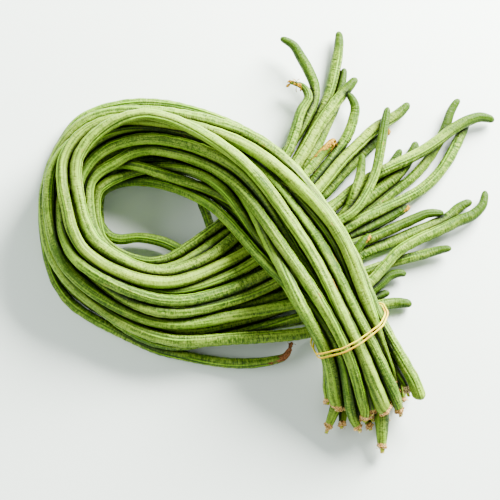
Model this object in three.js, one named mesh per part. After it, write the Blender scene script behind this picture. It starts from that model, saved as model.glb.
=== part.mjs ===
// A bunch of yardlong beans, tied near the cut ends and bent round once.
// The tied arm lies over the loose arm, whose tips fan out on the surface.
// Millimetres, +Z up. The plan is drawn as seen from above: +X right, +Y away.

import * as THREE from "three";
import { mergeVertices } from "three/addons/utils/BufferGeometryUtils.js";

// Driving dimensions.
const POD_GIRTH = 3.55; // radius of a middling pod
const SIDES = 6; // sides of a pod's section, flat side down
const GAP = 0.3; // air left between neighbours
const RING_TURN = 0.34; // most that a pod turns between two rings, in radians
const RING_STEP = [2.5, 16]; // least and most distance between two rings
const BAND_RADIUS = 0.55; // rubber band's strand
const BAND_SPREAD = 1.5; // half the distance between its two windings, side by side
const BAND_STACK = 0.75; // half the distance where one winding lies on the other
const BAND_STEPS = 44; // steps in one winding
const BAND_CENTRE = [62.8, -59.2, 33.6];
const BAND_ACROSS = [38, 25]; // direction of the band's width, seen from above
const BAND_LEAN = 0.62; // its top leans to the cut ends, in radians from upright
const BAND_HALF = [22.5, 19.8]; // half width and half height of the tied bundle
const BAND_NEAR = 16; // length of bundle beside the band that leaves room for it below
const BAND_ROOM = 3.4; // air left there for both windings
const BAND_GRIP = 42; // length of bundle beside the band that it holds together
const BAND_FLARE = 0.013; // share by which the bundle may widen for each millimetre from the band
const TOP_HOLD = 0.05; // how well a pod that lies on top keeps to its own line
const LOW_HOLD = 0.012; // and one of those below
const TOP_PODS = 12;
const SETTLE_ROUNDS = 3200;
const CLEAR_ROUNDS = 900;

// Lines across the bunch, from the inside of the bend to the outside. base is the height that the
// lowest layer of pods starts at, layer the height of one layer, and full the share of the line
// that the bundle fills.
const STATIONS = [
  { name: "band", inner: [44, -73], outer: [82, -48], base: 15, layer: 9, full: 1 },
  { name: "arm", inner: [8, -15], outer: [55, 9], base: 27, layer: 8, full: 0.93 },
  { name: "shoulder", inner: [-30, 27], outer: [8, 70], base: 9, layer: 7.2, full: 0.86 },
  { name: "crown", inner: [-66, 40], outer: [-67, 98], base: 0, layer: 7.2, full: 0.68 },
  { name: "brow", inner: [-85, 42], outer: [-112, 88], base: 0, layer: 7.2, full: 0.71 },
  { name: "cheek", inner: [-99, 35], outer: [-129, 61], base: 0, layer: 7.2, full: 0.81 },
  { name: "side", inner: [-100, 20], outer: [-137, 21], base: 0, layer: 7.2, full: 0.85 },
  { name: "turn", inner: [-93, 1], outer: [-123, -22], base: 0, layer: 7.2, full: 0.89 },
  { name: "belly", inner: [-59, -12], outer: [-59, -68], base: 0, layer: 7.2, full: 0.95 },
  { name: "under", inner: [-18, 13], outer: [-6, -65], base: 0, layer: 7.2, full: 1 },
];

// One row a pod. lanes: place on each station's line, 0 inside to 1 outside. levels: layers of pods
// below it there. stem: cut end. tip: the way to the tip after the last station. Points are x, y
// and height. swell: how much the pod thickens at the cut end. stub: length of stalk left on.
const PODS = [
  // The pods that lie on top, from the inside of the bend to the outside.
  {
    lanes: [0.03, 0.12, 0.24, 0.2, 0.12, 0.1, 0.06, 0.05, 0.03, 0.03],
    levels: "2111112211",
    stem: [44, -108, 8],
    tip: [[27, 66, 8], [32, 84, 6], [37, 97, 8], [40, 103, 10], [36, 108, 12], [26, 111, 13]],
    girth: 1.0, swell: 1.0, stub: 2,
  },
  {
    lanes: [0.32, 0.31, 0.38, 0.37, 0.2, 0.2, 0.19, 0.14, 0.09, 0.09],
    levels: "3322223211",
    stem: [73, -116, 18],
    tip: [[34, 64, 14], [43, 85, 14], [52, 103, 12], [57, 121, 8], [60, 140, 6], [61, 149, 6]],
    girth: 1.05, swell: 1.05, stub: 2,
  },
  {
    lanes: [0.59, 0.56, 0.55, 0.65, 0.53, 0.48, 0.28, 0.22, 0.18, 0.18],
    levels: "3333333322",
    stem: [88, -111, 20],
    tip: [[31, 58, 18], [43, 78, 16], [56, 96, 13], [65, 107, 10], [70, 116, 10]],
    girth: 1.12, swell: 1.25, stub: 2,
  },
  {
    lanes: [0.86, 0.88, 0.7, 0.6, 0.6, 0.62, 0.48, 0.46, 0.3, 0.33],
    levels: "3332223333",
    stem: [91, -93, 26],
    tip: [[45, 41, 14], [56, 55, 13], [69, 68, 12], [83, 81, 10], [97, 90, 7], [107, 98, 6]],
    girth: 1.1, swell: 0.62, stub: 3,
  },
  {
    lanes: [0.455, 0.42, 0.45, 0.47, 0.4, 0.36, 0.33, 0.33, 0.41, 0.44],
    levels: "3333332222",
    stem: [78, -110, 12],
    tip: [
      [59, 28, 12], [72, 39, 14], [89, 51, 14], [106, 59, 13], [122, 70, 12], [139, 83, 10],
      [153, 89, 7], [163, 88, 5],
    ],
    girth: 1.08, swell: 1.0, stub: 2,
  },
  {
    lanes: [0.74, 0.74, 0.63, 0.56, 0.48, 0.45, 0.55, 0.6, 0.5, 0.56],
    levels: "3332222232",
    stem: [97, -112, 14],
    tip: [
      [62, 12, 12], [82, 21, 9], [99, 29, 6], [116, 40, 5], [129, 55, 5], [137, 70, 5],
      [143, 83, 4], [146, 91, 4],
    ],
    girth: 1.05, swell: 1.1, stub: 4,
  },
  {
    lanes: [0.8, 0.86, 0.77, 0.66, 0.65, 0.68, 0.53, 0.66, 0.55, 0.62],
    levels: "2221122332",
    stem: [102, -100, 18],
    tip: [[72, 4, 12], [89, 11, 10], [105, 18, 9], [119, 23, 8], [127, 22, 7]],
    girth: 0.98, swell: 0.75, stub: 3,
  },
  {
    lanes: [0.11, 0.2, 0.33, 0.45, 0.33, 0.3, 0.24, 0.4, 0.6, 0.68],
    levels: "3212222111",
    stem: [53, -111, 16],
    tip: [[72, -1, 10], [92, 6, 8], [112, 14, 6], [129, 21, 5], [139, 29, 5], [146, 33, 5]],
    girth: 1.08, swell: 1.22, stub: 1,
  },
  {
    lanes: [0.93, 0.93, 0.82, 0.69, 0.7, 0.76, 0.74, 0.8, 0.71, 0.76],
    levels: "2110122222",
    stem: [104, -92, 12],
    tip: [
      [78, -24, 14], [89, -12, 14], [100, -1, 11], [118, 8, 6], [138, 18, 5], [151, 25, 5],
      [157, 38, 7],
    ],
    girth: 1.0, swell: 1.0, stub: 1,
  },
  {
    lanes: [0.97, 0.97, 0.86, 0.71, 0.76, 0.87, 0.91, 0.92, 0.87, 0.94],
    levels: "2211232111",
    stem: [109, -102, 20],
    tip: [[44, -55, 4], [78, -41, 4], [85, -38, 4], [98, -36, 4], [106, -36, 4]],
    girth: 1.15, swell: 1.05, stub: 0,
  },
  {
    lanes: [0.88, 0.95, 1.0, 1.0, 1.0, 1.0, 0.97, 1.03],
    levels: "10100000",
    stem: [100, -98, 5],
    tip: [
      [-59, -66, 4], [-39, -71, 4], [-20, -75, 4], [0, -76, 4], [16, -74, 4], [25, -70, 5],
      [27, -63, 6],
    ],
    girth: 0.98, swell: 1.0, stub: 1,
  },
  {
    lanes: [0.21, 0.02, 0.02, 0.05, 0.02, 0.02, 0.08],
    levels: "3210000",
    stem: [71, -122, 12],
    tip: [
      [-91, 6, 4], [-79, 7, 4], [-66, 7, 4], [-53, 4, 5], [-39, -1, 7], [-22, 0, 9],
      [0, 8, 9], [26, 26, 8], [43, 46, 8], [56, 63, 6], [65, 77, 6], [69, 90, 8],
      [69, 98, 10], [65, 104, 12],
    ],
    girth: 1.0, swell: 1.1, stub: 3,
  },
  // The pods below them, again from the inside to the outside.
  {
    lanes: [0.1, 0.1, 0.12, 0.12, 0.1, 0.13, 0.12, 0.12, 0.1],
    levels: "0000000000",
    stem: [52, -102, 6],
    tip: [[-40, -7, 6], [-30, 4, 4], [-28, 15, 4], [-32, 28, 4], [-35, 40, 4]],
    girth: 0.9, swell: 1.0, stub: 1,
  },
  {
    lanes: [0.18, 0.2, 0.17, 0.15, 0.2, 0.2, 0.2, 0.17, 0.08, 0.06],
    levels: "1101101100",
    stem: [61, -108, 12],
    tip: [
      [33, 73, 8], [41, 90, 8], [44, 104, 9], [41, 115, 11], [35, 126, 14], [29, 136, 16],
      [21, 142, 17],
    ],
    girth: 0.93, swell: 1.0, stub: 1,
  },
  {
    lanes: [0.1, 0.3, 0.28, 0.27, 0.27, 0.24, 0.26, 0.22, 0.15, 0.15],
    levels: "0000000000",
    stem: [49, -122, 5],
    tip: [[35, 54, 6], [45, 75, 6], [55, 96, 5], [60, 110, 4], [62, 124, 4]],
    girth: 0.97, swell: 1.1, stub: 4,
  },
  {
    lanes: [0.28, 0.42, 0.33, 0.31, 0.3, 0.34, 0.38, 0.3, 0.22, 0.22],
    levels: "0111111111",
    stem: [59, -119, 6],
    tip: [[36, 50, 12], [45, 60, 12], [52, 67, 10], [57, 71, 10]],
    girth: 0.95, swell: 1.05, stub: 2,
  },
  {
    lanes: [0.38, 0.5, 0.42, 0.39, 0.4, 0.38, 0.4, 0.36, 0.3, 0.28],
    levels: "1000000000",
    stem: [66, -111, 10],
    tip: [[50, 39, 6], [63, 53, 5], [76, 66, 5], [85, 74, 5], [93, 81, 5]],
    girth: 0.97, swell: 1.0, stub: 1,
  },
  {
    lanes: [0.45, 0.58, 0.48, 0.42, 0.42, 0.47, 0.5, 0.44, 0.36, 0.46],
    levels: "1111111111",
    stem: [69, -115, 8],
    tip: [[62, 19, 20], [72, 32, 20], [81, 50, 18], [86, 70, 18], [91, 94, 14]],
    girth: 0.9, swell: 1.0, stub: 1,
  },
  {
    lanes: [0.5, 0.66, 0.55, 0.5, 0.52, 0.52, 0.54, 0.52, 0.43, 0.5],
    levels: "0000000001",
    stem: [78, -120, 5],
    tip: [[65, 20, 16], [70, 32, 20], [73, 46, 18], [75, 61, 16]],
    girth: 0.93, swell: 0.95, stub: 2,
  },
  {
    lanes: [0.6, 0.72, 0.6, 0.52, 0.55, 0.6, 0.62, 0.56, 0.48, 0.4],
    levels: "1111111110",
    stem: [82, -114, 9],
    tip: [[56, 29, 6], [73, 40, 5], [90, 52, 5], [96, 60, 5], [99, 68, 5]],
    girth: 0.97, swell: 1.0, stub: 1,
  },
  {
    lanes: [0.66, 0.48, 0.42, 0.58, 0.6, 0.56, 0.46, 0.54, 0.52, 0.5],
    levels: "0121111110",
    stem: [85, -135, 6],
    tip: [[67, 19, 12], [82, 32, 9], [98, 47, 6], [106, 60, 5], [112, 72, 5]],
    girth: 1.1, swell: 1.22, stub: 4,
  },
  {
    lanes: [0.7, 0.8, 0.66, 0.61, 0.64, 0.66, 0.66, 0.64, 0.57, 0.57],
    levels: "1000000000",
    stem: [92, -105, 9],
    tip: [
      [71, 22, 5], [93, 40, 4], [110, 53, 4], [123, 69, 4], [131, 85, 5], [135, 96, 6],
      [139, 102, 7],
    ],
    girth: 0.93, swell: 1.0, stub: 1,
  },
  {
    lanes: [0.72, 0.62, 0.7, 0.63, 0.62, 0.6, 0.6, 0.62, 0.64, 0.6],
    levels: "2211111112",
    stem: [94, -100, 12],
    tip: [[67, 6, 16], [82, 14, 14], [95, 23, 11], [105, 27, 10]],
    girth: 0.97, swell: 1.0, stub: 1,
  },
  {
    lanes: [0.8, 0.87, 0.76, 0.72, 0.74, 0.76, 0.78, 0.76, 0.7, 0.66],
    levels: "0000000000",
    stem: [88, -116, 5],
    tip: [[50, -8, 10], [62, -6, 12], [67, -1, 12], [72, 3, 12], [78, 6, 12]],
    girth: 0.93, swell: 1.0, stub: 2,
  },
  {
    lanes: [0.86, 0.7, 0.8, 0.7, 0.7, 0.7, 0.72, 0.72, 0.78, 0.84],
    levels: "1011111110",
    stem: [99, -102, 8],
    tip: [[75, -16, 6], [89, -11, 4], [99, -8, 4], [115, -4, 5], [132, 1, 7]],
    girth: 0.94, swell: 1.0, stub: 1,
  },
  {
    lanes: [0.92, 0.92, 0.8, 0.7, 0.74, 0.83, 0.86, 0.86, 0.82, 0.84],
    levels: "0000000001",
    stem: [104, -95, 6],
    tip: [[58, -38, 4], [80, -29, 4], [88, -22, 5], [96, -17, 6], [102, -19, 6]],
    girth: 0.97, swell: 1.0, stub: 1,
  },
  {
    lanes: [0.66, 0.8, 0.75, 0.68, 0.7, 0.76, 0.84, 0.84, 0.84, 0.88],
    levels: "2212211100",
    stem: [95, -99, 16],
    tip: [[62, -41, 4], [80, -34, 4], [85, -31, 4], [91, -28, 4]],
    girth: 0.97, swell: 1.0, stub: 1,
  },
];

// A pod's outline along its length: distance from the end against share of its girth.
const TIP_OUTLINE = [[0, 0], [0.7, 0.34], [3, 0.56], [10, 0.74], [30, 0.9], [75, 1]];
const CUT_OUTLINE = [[0, 0], [1.2, 0.62], [4, 0.98], [12, 1.04], [30, 1.02], [60, 1]];
const STUB_SHARE = 0.34; // girth of the stalk left on the cut end

// The height to which a list of [x, y] pairs rises at x.
function lookUp(pairs, x) {
  const next = pairs.findIndex(([at]) => at >= x);
  if (next < 0) return pairs.at(-1)[1];
  if (next === 0) return pairs[0][1];
  const [[x0, y0], [x1, y1]] = pairs.slice(next - 1, next + 1);
  return y0 + ((y1 - y0) * (x - x0)) / (x1 - x0);
}

// The smooth line that a pod is laid along before it settles, from the cut end to the tip.
function layOut(pod) {
  const [sx, sy, sz] = pod.stem;
  const points = [new THREE.Vector3(sx, sy, sz)];
  pod.lanes.forEach((lane, i) => {
    const { inner, outer, base, layer } = STATIONS[i];
    const x = THREE.MathUtils.lerp(inner[0], outer[0], lane);
    const y = THREE.MathUtils.lerp(inner[1], outer[1], lane);
    points.push(new THREE.Vector3(x, y, base + layer * Number(pod.levels[i]) + POD_GIRTH));
  });
  for (const [x, y, z] of pod.tip) points.push(new THREE.Vector3(x, y, z));
  const line = new THREE.CatmullRomCurve3(points, false, "centripetal");
  line.arcLengthDivisions = 900;
  return line;
}

// Distances along a line at which a pod has a ring: close where it bends and at both ends.
function ringPlaces(line, pod) {
  const length = line.getLength();
  const stub = pod.stub;
  const stalk = stub > 0 ? [stub] : [];
  const cut = [0, 0.3, ...stalk, stub + 1.2, stub + 4, stub + 12];
  const tip = [30, 19, 10, 3, 0.7, 0].map((d) => length - d);
  const start = cut.at(-1);
  const end = tip[0];
  const samples = Math.ceil(end - start);
  const tangents = Array.from({ length: samples + 1 }, (_, i) =>
    line.getTangentAt((start + ((end - start) * i) / samples) / length));
  const density = tangents.map((t, i) => {
    const a = tangents[Math.max(0, i - 7)];
    const b = tangents[Math.min(samples, i + 7)];
    const bend = a.angleTo(b) / (Math.min(samples, i + 7) - Math.max(0, i - 7));
    return THREE.MathUtils.clamp(bend / RING_TURN, 1 / RING_STEP[1], 1 / RING_STEP[0]);
  });
  const total = density.reduce((sum, d) => sum + d, 0);
  const count = Math.round(total * ((end - start) / samples));
  const places = [];
  let run = 0;
  density.forEach((d, i) => {
    run += d;
    const due = ((places.length + 1) * total) / count;
    const room = places.length < count - 1;
    if (run >= due && room) places.push(start + ((end - start) * i) / samples);
  });
  return [...cut, ...places, ...tip];
}

// A pod's radius at a distance from its cut end.
function podRadius(pod, at, length) {
  const girth = POD_GIRTH * pod.girth;
  const fromStub = at - pod.stub;
  const tip = lookUp(TIP_OUTLINE, length - at);
  if (fromStub <= 0 && pod.stub > 0) return at <= 0 ? 0 : girth * STUB_SHARE;
  const swell = 1 + (pod.swell - 1) * (1 - THREE.MathUtils.smoothstep(fromStub, 10, 50));
  return girth * lookUp(CUT_OUTLINE, fromStub) * swell * tip;
}

// The two sides of the bunch from the band to where it passes under itself.
const sides = ["inner", "outer"].map((side) => {
  const points = STATIONS.map((station) => new THREE.Vector3(...station[side], 0));
  return new THREE.CatmullRomCurve3(points, false, "centripetal");
});

// How many stations a pod has passed at a share of its length, counted from the band.
const stationAt = (line, share) => line.getUtoTmapping(share) * (line.points.length - 1) - 1;

// The sides of the bunch abreast of a pod at a station, or nothing beyond the stations.
function flanks(pod, station) {
  if (station < 0 || station > pod.lanes.length - 1) return null;
  const [from, to] = sides.map((side) => side.getPoint(station / (STATIONS.length - 1)));
  const line = from.distanceTo(to);
  const fill = lookUp(STATIONS.map(({ full }, i) => [i, full]), station);
  const lane = lookUp(pod.lanes.map((at, i) => [i, at]), station);
  return { from, width: line * Math.max(fill, lane), out: to.sub(from).divideScalar(line) };
}

// Each pod as a chain of rings, with the line it was laid along kept as its guide.
const chains = PODS.map((pod, i) => {
  const line = layOut(pod);
  const length = line.getLength();
  const places = ringPlaces(line, pod);
  const shares = places.map((at) => THREE.MathUtils.clamp(at / length, 0, 1));
  const guide = shares.map((share) => line.getPointAt(share));
  const stations = shares.map((share) => stationAt(line, share));
  return {
    places,
    guide,
    rings: guide.map((p) => p.clone()),
    radii: places.map((at) => podRadius(pod, at, length)),
    room: stations.map((station) => flanks(pod, station)),
    tied: stations.map((station) => station < 1),
    hold: i < TOP_PODS ? TOP_HOLD : LOW_HOLD,
  };
});

// The band's own directions: across the bundle, up its height and along the bundle.
const bandCentre = new THREE.Vector3(...BAND_CENTRE);
const bandAcross = new THREE.Vector3(...BAND_ACROSS, 0).normalize();
const bandUp = new THREE.Vector3(0, 0, Math.cos(BAND_LEAN))
  .addScaledVector(new THREE.Vector3(bandAcross.y, -bandAcross.x, 0), Math.sin(BAND_LEAN));
const bandAxis = new THREE.Vector3().crossVectors(bandAcross, bandUp);

// How far along the bundle a point is from the band.
const fromBand = (point) => Math.abs(point.clone().sub(bandCentre).dot(bandAxis));

// Every length of pod between two rings. The band passes between a wrapped one and any pod
// outside it.
const spans = chains.flatMap((chain, owner) =>
  chain.rings.slice(1).map((_, i) => ({
    owner,
    at: i,
    tied: chain.tied[i],
    wrapped: chain.tied[i] && fromBand(chain.guide[i]) < BAND_NEAR,
    a: chain.rings[i],
    b: chain.rings[i + 1],
    ra: chain.radii[i],
    rb: chain.radii[i + 1],
  })));

const SELF_SKIP = 7; // neighbours on the same pod that can't meet
const REACH = 4; // extra distance at which two spans are watched

// Whether two boxes of lowest and highest x, y and z lie apart.
const apart = (p, q) =>
  p[0] > q[3] || q[0] > p[3] || p[1] > q[4] || q[1] > p[4] || p[2] > q[5] || q[2] > p[5];

// The pairs of spans that are close enough to meet.
function watchPairs() {
  const boxes = spans.map(({ a, b, ra, rb }) => {
    const r = Math.max(ra, rb) + REACH / 2;
    return [
      Math.min(a.x, b.x) - r, Math.min(a.y, b.y) - r, Math.min(a.z, b.z) - r,
      Math.max(a.x, b.x) + r, Math.max(a.y, b.y) + r, Math.max(a.z, b.z) + r,
    ];
  });
  const pairs = [];
  for (let i = 0; i < spans.length; i++) {
    const p = boxes[i];
    for (let j = i + 1; j < spans.length; j++) {
      if (apart(p, boxes[j])) continue;
      const own = spans[i].owner === spans[j].owner;
      if (own && spans[j].at - spans[i].at < SELF_SKIP) continue;
      pairs.push([spans[i], spans[j]]);
    }
  }
  return pairs;
}

const u = new THREE.Vector3();
const v = new THREE.Vector3();
const w = new THREE.Vector3();
const push = new THREE.Vector3();

// Moves two spans apart until they are a gap from touching. Returns how deep they were.
function separate(p, q, share) {
  u.subVectors(p.b, p.a);
  v.subVectors(q.b, q.a);
  w.subVectors(p.a, q.a);
  const a = u.dot(u);
  const b = u.dot(v);
  const c = v.dot(v);
  const d = u.dot(w);
  const e = v.dot(w);
  const flat = a * c - b * b;
  let s = flat > 1e-6 ? THREE.MathUtils.clamp((b * e - c * d) / flat, 0, 1) : 0.5;
  let t = THREE.MathUtils.clamp((b * s + e) / c, 0, 1);
  s = THREE.MathUtils.clamp((b * t - d) / a, 0, 1);
  push.copy(w).addScaledVector(u, s).addScaledVector(v, -t);
  const distance = push.length();
  const banded = (p.wrapped && !q.tied) || (q.wrapped && !p.tied);
  const thick = p.ra + (p.rb - p.ra) * s + q.ra + (q.rb - q.ra) * t;
  const depth = thick + (banded ? BAND_ROOM : GAP) - distance;
  if (depth <= 0) return 0;
  if (distance < 1e-6) push.set(0, 0, 1);
  else push.divideScalar(distance);
  const weight = (1 - s) ** 2 + s ** 2 + (1 - t) ** 2 + t ** 2;
  const move = (share * depth) / weight;
  p.a.addScaledVector(push, move * (1 - s));
  p.b.addScaledVector(push, move * s);
  q.a.addScaledVector(push, -move * (1 - t));
  q.b.addScaledVector(push, -move * t);
  return depth;
}

const FLAT_SIDE = Math.cos(Math.PI / SIDES); // centre to flat side, as a share of the radius

// Keeps a ring near the band inside the tied bundle.
function gather(ring, radius, share) {
  push.subVectors(ring, bandCentre);
  const along = push.dot(bandAxis);
  if (Math.abs(along) > BAND_GRIP) return;
  const x = push.dot(bandAcross);
  const y = push.dot(bandUp);
  const widen = 1 + BAND_FLARE * Math.abs(along);
  const [wide, high] = BAND_HALF.map((half) => half * widen - radius);
  const out = Math.hypot(x / wide, y / high);
  if (out <= 1) return;
  const back = share * (1 - 1 / out);
  ring.addScaledVector(bandAcross, -x * back).addScaledVector(bandUp, -y * back);
}

// Keeps a ring between the two sides of the bunch.
function shut(ring, room, share) {
  const { from, out, width } = room;
  const across = (ring.x - from.x) * out.x + (ring.y - from.y) * out.y;
  const excess = across - THREE.MathUtils.clamp(across, 0, width);
  ring.x -= share * excess * out.x;
  ring.y -= share * excess * out.y;
}

// One round of settling: weight, the pull of the guide, the pods' own stiffness, contact and the
// surface below.
function settle(pairs, { weight, pull, stiffness, lift, grip }) {
  for (const { guide, rings, places, hold, tied } of chains) {
    const tipRings = places.at(-1) - 60;
    rings.forEach((ring, i) => {
      const loose = guide[i];
      ring.x += (loose.x - ring.x) * pull * hold;
      ring.y += (loose.y - ring.y) * pull * hold;
      if (tied[i]) ring.z += (loose.z - ring.z) * pull * hold;
      else if (places[i] > tipRings) ring.z += (loose.z - ring.z) * lift;
      else ring.z -= weight;
    });
    for (let i = 1; i < rings.length - 1; i++) {
      const before = places[i] - places[i - 1];
      const after = places[i + 1] - places[i];
      const whole = before + after;
      const mid = (line, key) => (line[i - 1][key] * after + line[i + 1][key] * before) / whole;
      for (const key of ["x", "y"]) {
        const bend = guide[i][key] - mid(guide, key);
        rings[i][key] += stiffness * (mid(rings, key) + bend - rings[i][key]);
      }
      rings[i].z += stiffness * (mid(rings, "z") - rings[i].z);
    }
  }
  let deepest = 0;
  for (const [p, q] of pairs) separate(p, q, 0.9);
  for (const [p, q] of pairs) deepest = Math.max(deepest, separate(p, q, 0.9));
  for (const { rings, radii, room, tied } of chains)
    rings.forEach((ring, i) => {
      if (room[i]) shut(ring, room[i], grip);
      if (tied[i]) gather(ring, radii[i], grip);
      ring.z = Math.max(ring.z, radii[i] * FLAT_SIDE);
    });
  return deepest;
}

let pairs = [];
for (let round = 0; round < SETTLE_ROUNDS; round++) {
  if (round % 10 === 0) pairs = watchPairs();
  const late = round / SETTLE_ROUNDS;
  const ease = Math.min(1, 3 * (1 - late));
  const grip = Math.min(1, 12 * (1 - late));
  settle(pairs, {
    weight: 0.045 * ease,
    pull: ease,
    stiffness: 0.45 * ease + 0.02,
    lift: 0.02 * ease,
    grip,
  });
}
let deepest = 1;
for (let round = 0; round < CLEAR_ROUNDS && deepest > 0.05; round++) {
  if (round % 10 === 0) pairs = watchPairs();
  deepest = settle(pairs, { weight: 0, pull: 0, stiffness: 0.02, lift: 0, grip: 0 });
}

// The directions at each ring: across the pod on the level, and down.
function ringFrames(rings) {
  return rings.map((ring, i) => {
    const ahead = rings[Math.min(i + 1, rings.length - 1)];
    const along = new THREE.Vector3().subVectors(ahead, rings[Math.max(i - 1, 0)]).normalize();
    const across = new THREE.Vector3(along.y, -along.x, 0).normalize();
    return { ring, across, down: new THREE.Vector3().crossVectors(along, across) };
  });
}

// Merges shared corners and drops the faces that have closed up at the poles.
function closedSolid(geometry) {
  geometry.deleteAttribute("normal");
  geometry.deleteAttribute("uv");
  const merged = mergeVertices(geometry, 1e-4);
  const index = merged.getIndex().array;
  const kept = [];
  for (let i = 0; i < index.length; i += 3) {
    const [a, b, c] = index.slice(i, i + 3);
    if (a !== b && b !== c && c !== a) kept.push(a, b, c);
  }
  merged.setIndex(kept);
  merged.computeVertexNormals();
  return merged;
}

// A pod turned on a lathe as a straight solid whose height counts rings, then bent along its chain.
function podSolid({ rings, radii }) {
  const outline = radii.map((r, i) => new THREE.Vector2(r, i));
  const lathe = new THREE.LatheGeometry(outline, SIDES);
  const frames = ringFrames(rings);
  const at = lathe.getAttribute("position");
  const corner = new THREE.Vector3();
  for (let i = 0; i < at.count; i++) {
    const { ring, across, down } = frames[Math.round(at.getY(i))];
    corner.copy(ring).addScaledVector(across, at.getZ(i)).addScaledVector(down, at.getX(i));
    at.setXYZ(i, ...corner);
  }
  return closedSolid(lathe);
}

// Corners of the tied bundle in the band's plane, as far out as the band's strand lies.
function bundleRim() {
  const reach = BAND_SPREAD + BAND_RADIUS;
  const clear = GAP + BAND_RADIUS + 0.15;
  const rim = [];
  for (const { a, b, ra, rb } of spans.filter((span) => span.tied))
    for (let step = 0; step <= 12; step++) {
      const share = step / 12;
      const middle = new THREE.Vector3().lerpVectors(a, b, share).sub(bandCentre);
      const beyond = Math.max(0, Math.abs(middle.dot(bandAxis)) - reach);
      const radius = ra + (rb - ra) * share;
      if (beyond >= radius) continue;
      const r = Math.sqrt(radius ** 2 - beyond ** 2) + clear;
      for (let turn = 0; turn < 24; turn++) {
        const angle = (turn * Math.PI) / 12;
        const x = middle.dot(bandAcross) + r * Math.cos(angle);
        const y = middle.dot(bandUp) + r * Math.sin(angle);
        rim.push(new THREE.Vector3(x, y, 0));
      }
    }
  return rim;
}

// The convex outline of flat points, anticlockwise.
function outline(points) {
  const sorted = [...points].sort((p, q) => p.x - q.x || p.y - q.y);
  const half = (list) => {
    const kept = [];
    for (const p of list) {
      while (kept.length > 1) {
        const [o, a] = kept.slice(-2);
        if ((a.x - o.x) * (p.y - o.y) - (a.y - o.y) * (p.x - o.x) > 0) break;
        kept.pop();
      }
      kept.push(p);
    }
    return kept.slice(0, -1);
  };
  return [...half(sorted), ...half(sorted.reverse())];
}

// The rubber band: two windings round the bundle that part on the inner side of the bend.
function bandSolid() {
  const rim = outline(bundleRim());
  const first = rim.findIndex((p) => p.x === Math.max(...rim.map((q) => q.x)));
  const loop = new THREE.CurvePath();
  rim.forEach((_, i) => {
    const from = rim[(first + i) % rim.length];
    const to = rim[(first + i + 1) % rim.length];
    loop.add(new THREE.LineCurve3(from, to));
  });
  const path = [];
  for (let step = 0; step < 2 * BAND_STEPS; step++) {
    const turn = step / BAND_STEPS;
    const point = loop.getPointAt(turn % 1);
    const next = loop.getPointAt((turn + 0.02) % 1);
    const before = loop.getPointAt((turn + 0.98) % 1);
    const outward = new THREE.Vector2(next.y - before.y, before.x - next.x).normalize();
    const lift = BAND_STACK * (1 + Math.cos(turn * Math.PI));
    const side = BAND_SPREAD * Math.sin(turn * Math.PI);
    path.push(bandCentre.clone()
      .addScaledVector(bandAcross, point.x + outward.x * lift)
      .addScaledVector(bandUp, point.y + outward.y * lift)
      .addScaledVector(bandAxis, side));
  }
  const curve = new THREE.CatmullRomCurve3(path, true, "centripetal");
  return closedSolid(new THREE.TubeGeometry(curve, 2 * BAND_STEPS, BAND_RADIUS, SIDES, true));
}

const material = (color, roughness) =>
  new THREE.MeshStandardMaterial({ color, roughness, metalness: 0 });
const bunch = new THREE.Group();
chains.forEach((chain, i) => {
  const mesh = new THREE.Mesh(podSolid(chain), material(0x8fae66, 0.6));
  mesh.name = `bean_${String(i + 1).padStart(2, "0")}`;
  bunch.add(mesh);
});

const band = new THREE.Mesh(bandSolid(), material(0xe8c95a, 0.5));
band.name = "rubber_band";
bunch.add(band);

// The middle of the outline comes over the origin.
const middle = new THREE.Box3().setFromObject(bunch).getCenter(new THREE.Vector3());
for (const { geometry } of bunch.children) geometry.translate(-middle.x, -middle.y, 0);

export default bunch;
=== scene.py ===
import logging
import math
from collections.abc import Mapping
from dataclasses import dataclass, field
from enum import Enum
from typing import Any, Optional, Union

import bpy
import numpy as np
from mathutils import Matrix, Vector, kdtree


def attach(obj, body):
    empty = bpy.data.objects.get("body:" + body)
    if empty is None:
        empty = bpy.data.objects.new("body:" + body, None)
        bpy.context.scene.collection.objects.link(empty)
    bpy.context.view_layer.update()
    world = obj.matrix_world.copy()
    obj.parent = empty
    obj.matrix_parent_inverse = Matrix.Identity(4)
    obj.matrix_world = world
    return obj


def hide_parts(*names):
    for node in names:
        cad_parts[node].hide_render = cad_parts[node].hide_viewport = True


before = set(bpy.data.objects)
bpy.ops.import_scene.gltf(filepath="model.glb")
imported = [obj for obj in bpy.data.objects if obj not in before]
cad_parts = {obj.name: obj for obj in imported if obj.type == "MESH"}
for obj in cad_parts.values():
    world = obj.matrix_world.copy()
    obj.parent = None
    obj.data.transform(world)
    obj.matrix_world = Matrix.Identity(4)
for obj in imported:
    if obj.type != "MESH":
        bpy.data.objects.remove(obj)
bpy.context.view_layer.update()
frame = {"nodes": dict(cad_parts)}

LOG = logging.getLogger("bean_bunch")
MM = 0.001
MICRON = MM * MM
POD_SIDES = 6  # corners in a ring of a pod's solid
Pair = tuple[float, float]
Triple = tuple[float, float, float]
Colour = tuple[float, float, float, float]


def colour(red: int, green: int, blue: int) -> Colour:
    """Turns a screen colour of 0 to 255 into the linear colour that a shader takes.

    Args:
        red: Red part.
        green: Green part.
        blue: Blue part.

    Returns:
        The linear colour with full alpha.
    """
    parts = [part / 255 for part in (red, green, blue)]
    linear = [p / 12.92 if p <= 0.04045 else ((p + 0.055) / 1.055) ** 2.4 for p in parts]
    return (linear[0], linear[1], linear[2], 1.0)


class StemEnd(Enum):
    """How the cut end of a pod looks."""

    CORK = "tapered, with a tan corky collar and a green stalk"
    BROAD = "broad and cut at a slant, with a tan rim"
    PALE = "pinkish white collar that is frayed"
    NECK = "slim yellow-green neck with a tan scar"
    SMOOTH = "rounded, yellowish green, no stalk left"


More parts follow.
